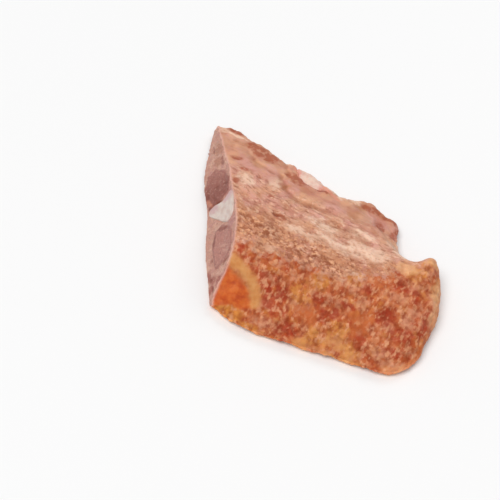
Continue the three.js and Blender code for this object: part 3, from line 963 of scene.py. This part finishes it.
def meat_material():
    shade = Shade("roasted_meat")
    colour = shade.mix(shade.mask("cut"), crust_colour(shade), cut_colour(shade))
    shade.feed(shade.shader.inputs["Base Color"], colour)
    gloss = shade.noise(3.0, 3, 0.6, shift=22.0)
    shade.feed(shade.shader.inputs["Roughness"], shade.range(gloss, 0.3, 0.7, 0.45, 0.68))
    shade.shader.inputs["Specular IOR Level"].default_value = 0.3
    shade.shader.inputs["Specular Tint"].default_value = (1.0, 0.75, 0.55, 1)
    shade.shader.inputs["Subsurface Weight"].default_value = 0.1
    shade.shader.inputs["Subsurface Radius"].default_value = (1.0, 0.35, 0.2)
    shade.shader.inputs["Subsurface Scale"].default_value = 2 * MM
    grain = shade.range(shade.mask("calm"), 0.2, 1.0, 1.0, 0.25)
    shade.bump(shade.math("MULTIPLY", shade.noise(1.6, 3, 0.6, shift=23.0), grain), 0.35, 0.6)
    return shade.material


def gristle_material(name, light, dark, tinged):
    """Pale gristle, clouded, with a tinged part."""
    shade = Shade(name)
    clouds = shade.noise(5.0, 3, 0.5, shift=24.0)
    colour = shade.ramp(clouds, ((0.35, dark), (0.6, light)))
    uneven = shade.range(shade.noise(3.0, 4, 0.6, shift=25), 0.3, 0.7, 0.5, 1.5)
    colour = shade.patched(colour, uneven, ("tinged", tinged, 0.85))
    shade.feed(shade.shader.inputs["Base Color"], colour)
    shade.shader.inputs["Roughness"].default_value = 0.38
    shade.shader.inputs["Specular IOR Level"].default_value = 0.4
    shade.shader.inputs["Subsurface Weight"].default_value = 0.2
    shade.shader.inputs["Subsurface Radius"].default_value = (1.0, 0.6, 0.4)
    shade.shader.inputs["Subsurface Scale"].default_value = 3 * MM
    shade.bump(shade.noise(1.8, 3, 0.6, shift=26.0), 0.25, 0.6)
    return shade.material


# ---- Gristle ----------------------------------------------------------------------------

PLATE_TINGED = (((83, 27), (6, 9), -35), ((76, 10), (4, 5)))
PLATE_PROUD = 0.4  # how far the plate's end stands out of the cut
PLATE_SINK = 2.0  # how much lower its hidden top lies than the solid's
RIB_TINGED = (((-6, 54), (8, 9)), ((-33, 62), (4, 6)))


def make_gristle_plate():
    mesh = voxel_copy("gristle_plate_fine", (("gristle_plate", GRISTLE_GROWTH),), GRISTLE_VOXEL)
    points = smoothed(mesh, mesh_points(mesh), PLATE_SMOOTHING)
    face_place, out = cut_coordinates(points)
    points = points - np.outer(np.maximum(out - PLATE_PROUD, 0), CUT_OUT)
    points[:, 2] -= PLATE_SINK * smoothstep(1.0, 6.0, -out) * smoothstep(15, 25, points[:, 2])
    set_points(mesh, points)
    store(mesh, "tinged", patches(face_place, PLATE_TINGED))
    return add_object("gristle_plate_fine", mesh)


def make_rib_end():
    mesh = voxel_copy("rib_end_fine", (("rib_end", GRISTLE_GROWTH),), GRISTLE_VOXEL)
    points = smoothed(mesh, mesh_points(mesh), RIB_SMOOTHING)
    set_points(mesh, points)
    normals = mesh_normals(mesh)
    lumpy = 0.5 * layered(points, 7, 32.0) + 0.2 * waves(points, 2.5, 33.0)
    set_points(mesh, points + normals * lumpy[:, None])
    store(mesh, "tinged", patches(points, RIB_TINGED))
    return add_object("rib_end_fine", mesh)


def dress(piece, node, material):
    piece.data.materials.append(material)
    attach(piece, "root")
    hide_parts(node)


# ---- Camera, light and floor ------------------------------------------------------------

def make_camera():
    azimuth, elevation = VIEW_AZIMUTH, VIEW_ELEVATION
    back = Vector((
        math.sin(azimuth) * math.cos(elevation), -math.cos(azimuth) * math.cos(elevation),
        math.sin(elevation)))
    level = Vector((math.cos(azimuth), math.sin(azimuth), 0))
    upward = back.cross(level)
    right = level * math.cos(VIEW_ROLL) + upward * math.sin(VIEW_ROLL)
    up = upward * math.cos(VIEW_ROLL) - level * math.sin(VIEW_ROLL)
    camera = bpy.data.objects.new("camera", bpy.data.cameras.new("camera"))
    camera.data.lens = VIEW_LENS
    camera.data.sensor_width = VIEW_SENSOR
    camera.data.clip_start = VIEW_NEAREST * MM
    place = Matrix((right, up, back)).transposed().to_4x4()
    place.translation = (VIEW_TARGET + back * VIEW_DISTANCE) * MM
    camera.matrix_world = place
    bpy.context.scene.collection.objects.link(camera)
    bpy.context.scene.camera = camera


def plain_material(name, colour, roughness):
    material = bpy.data.materials.new(name)
    material.use_nodes = True
    shader = material.node_tree.nodes["Principled BSDF"]
    shader.inputs["Base Color"].default_value = (*colour, 1)
    shader.inputs["Roughness"].default_value = roughness
    return material


def make_studio():
    """Soft even light from all round, two broad suns and a pale floor."""
    world = bpy.data.worlds.new("studio")
    world.use_nodes = True
    background = world.node_tree.nodes["Background"]
    background.inputs["Color"].default_value = (1, 1, 1, 1)
    background.inputs["Strength"].default_value = WORLD_LIGHT
    bpy.context.scene.world = world
    for name, direction, strength, spread in SUNS:
        light = bpy.data.lights.new(name, "SUN")
        light.energy = strength
        light.angle = math.radians(spread)
        sun = bpy.data.objects.new(name, light)
        sun.rotation_euler = Vector(direction).to_track_quat("Z", "Y").to_euler()
        bpy.context.scene.collection.objects.link(sun)
    bpy.ops.mesh.primitive_plane_add(size=FLOOR_SIZE * MM, location=(0, 0, 0))
    floor = bpy.context.object
    floor.name = "floor"
    floor.data.materials.append(plain_material("floor", FLOOR_COLOUR, FLOOR_ROUGHNESS))


# ---- Assembly ---------------------------------------------------------------------------

make_camera()
make_studio()
bpy.context.scene.view_settings.view_transform = "Standard"

dress(make_meat(), "meat", meat_material())
cut_gristle = gristle_material(
    "cut_gristle", tint(214, 197, 187), tint(202, 177, 166), tint(198, 158, 158))
dress(make_gristle_plate(), "gristle_plate", cut_gristle)
rib_gristle = gristle_material(
    "rib_gristle", tint(232, 200, 182), tint(220, 172, 154), tint(222, 150, 134))
dress(make_rib_end(), "rib_end", rib_gristle)
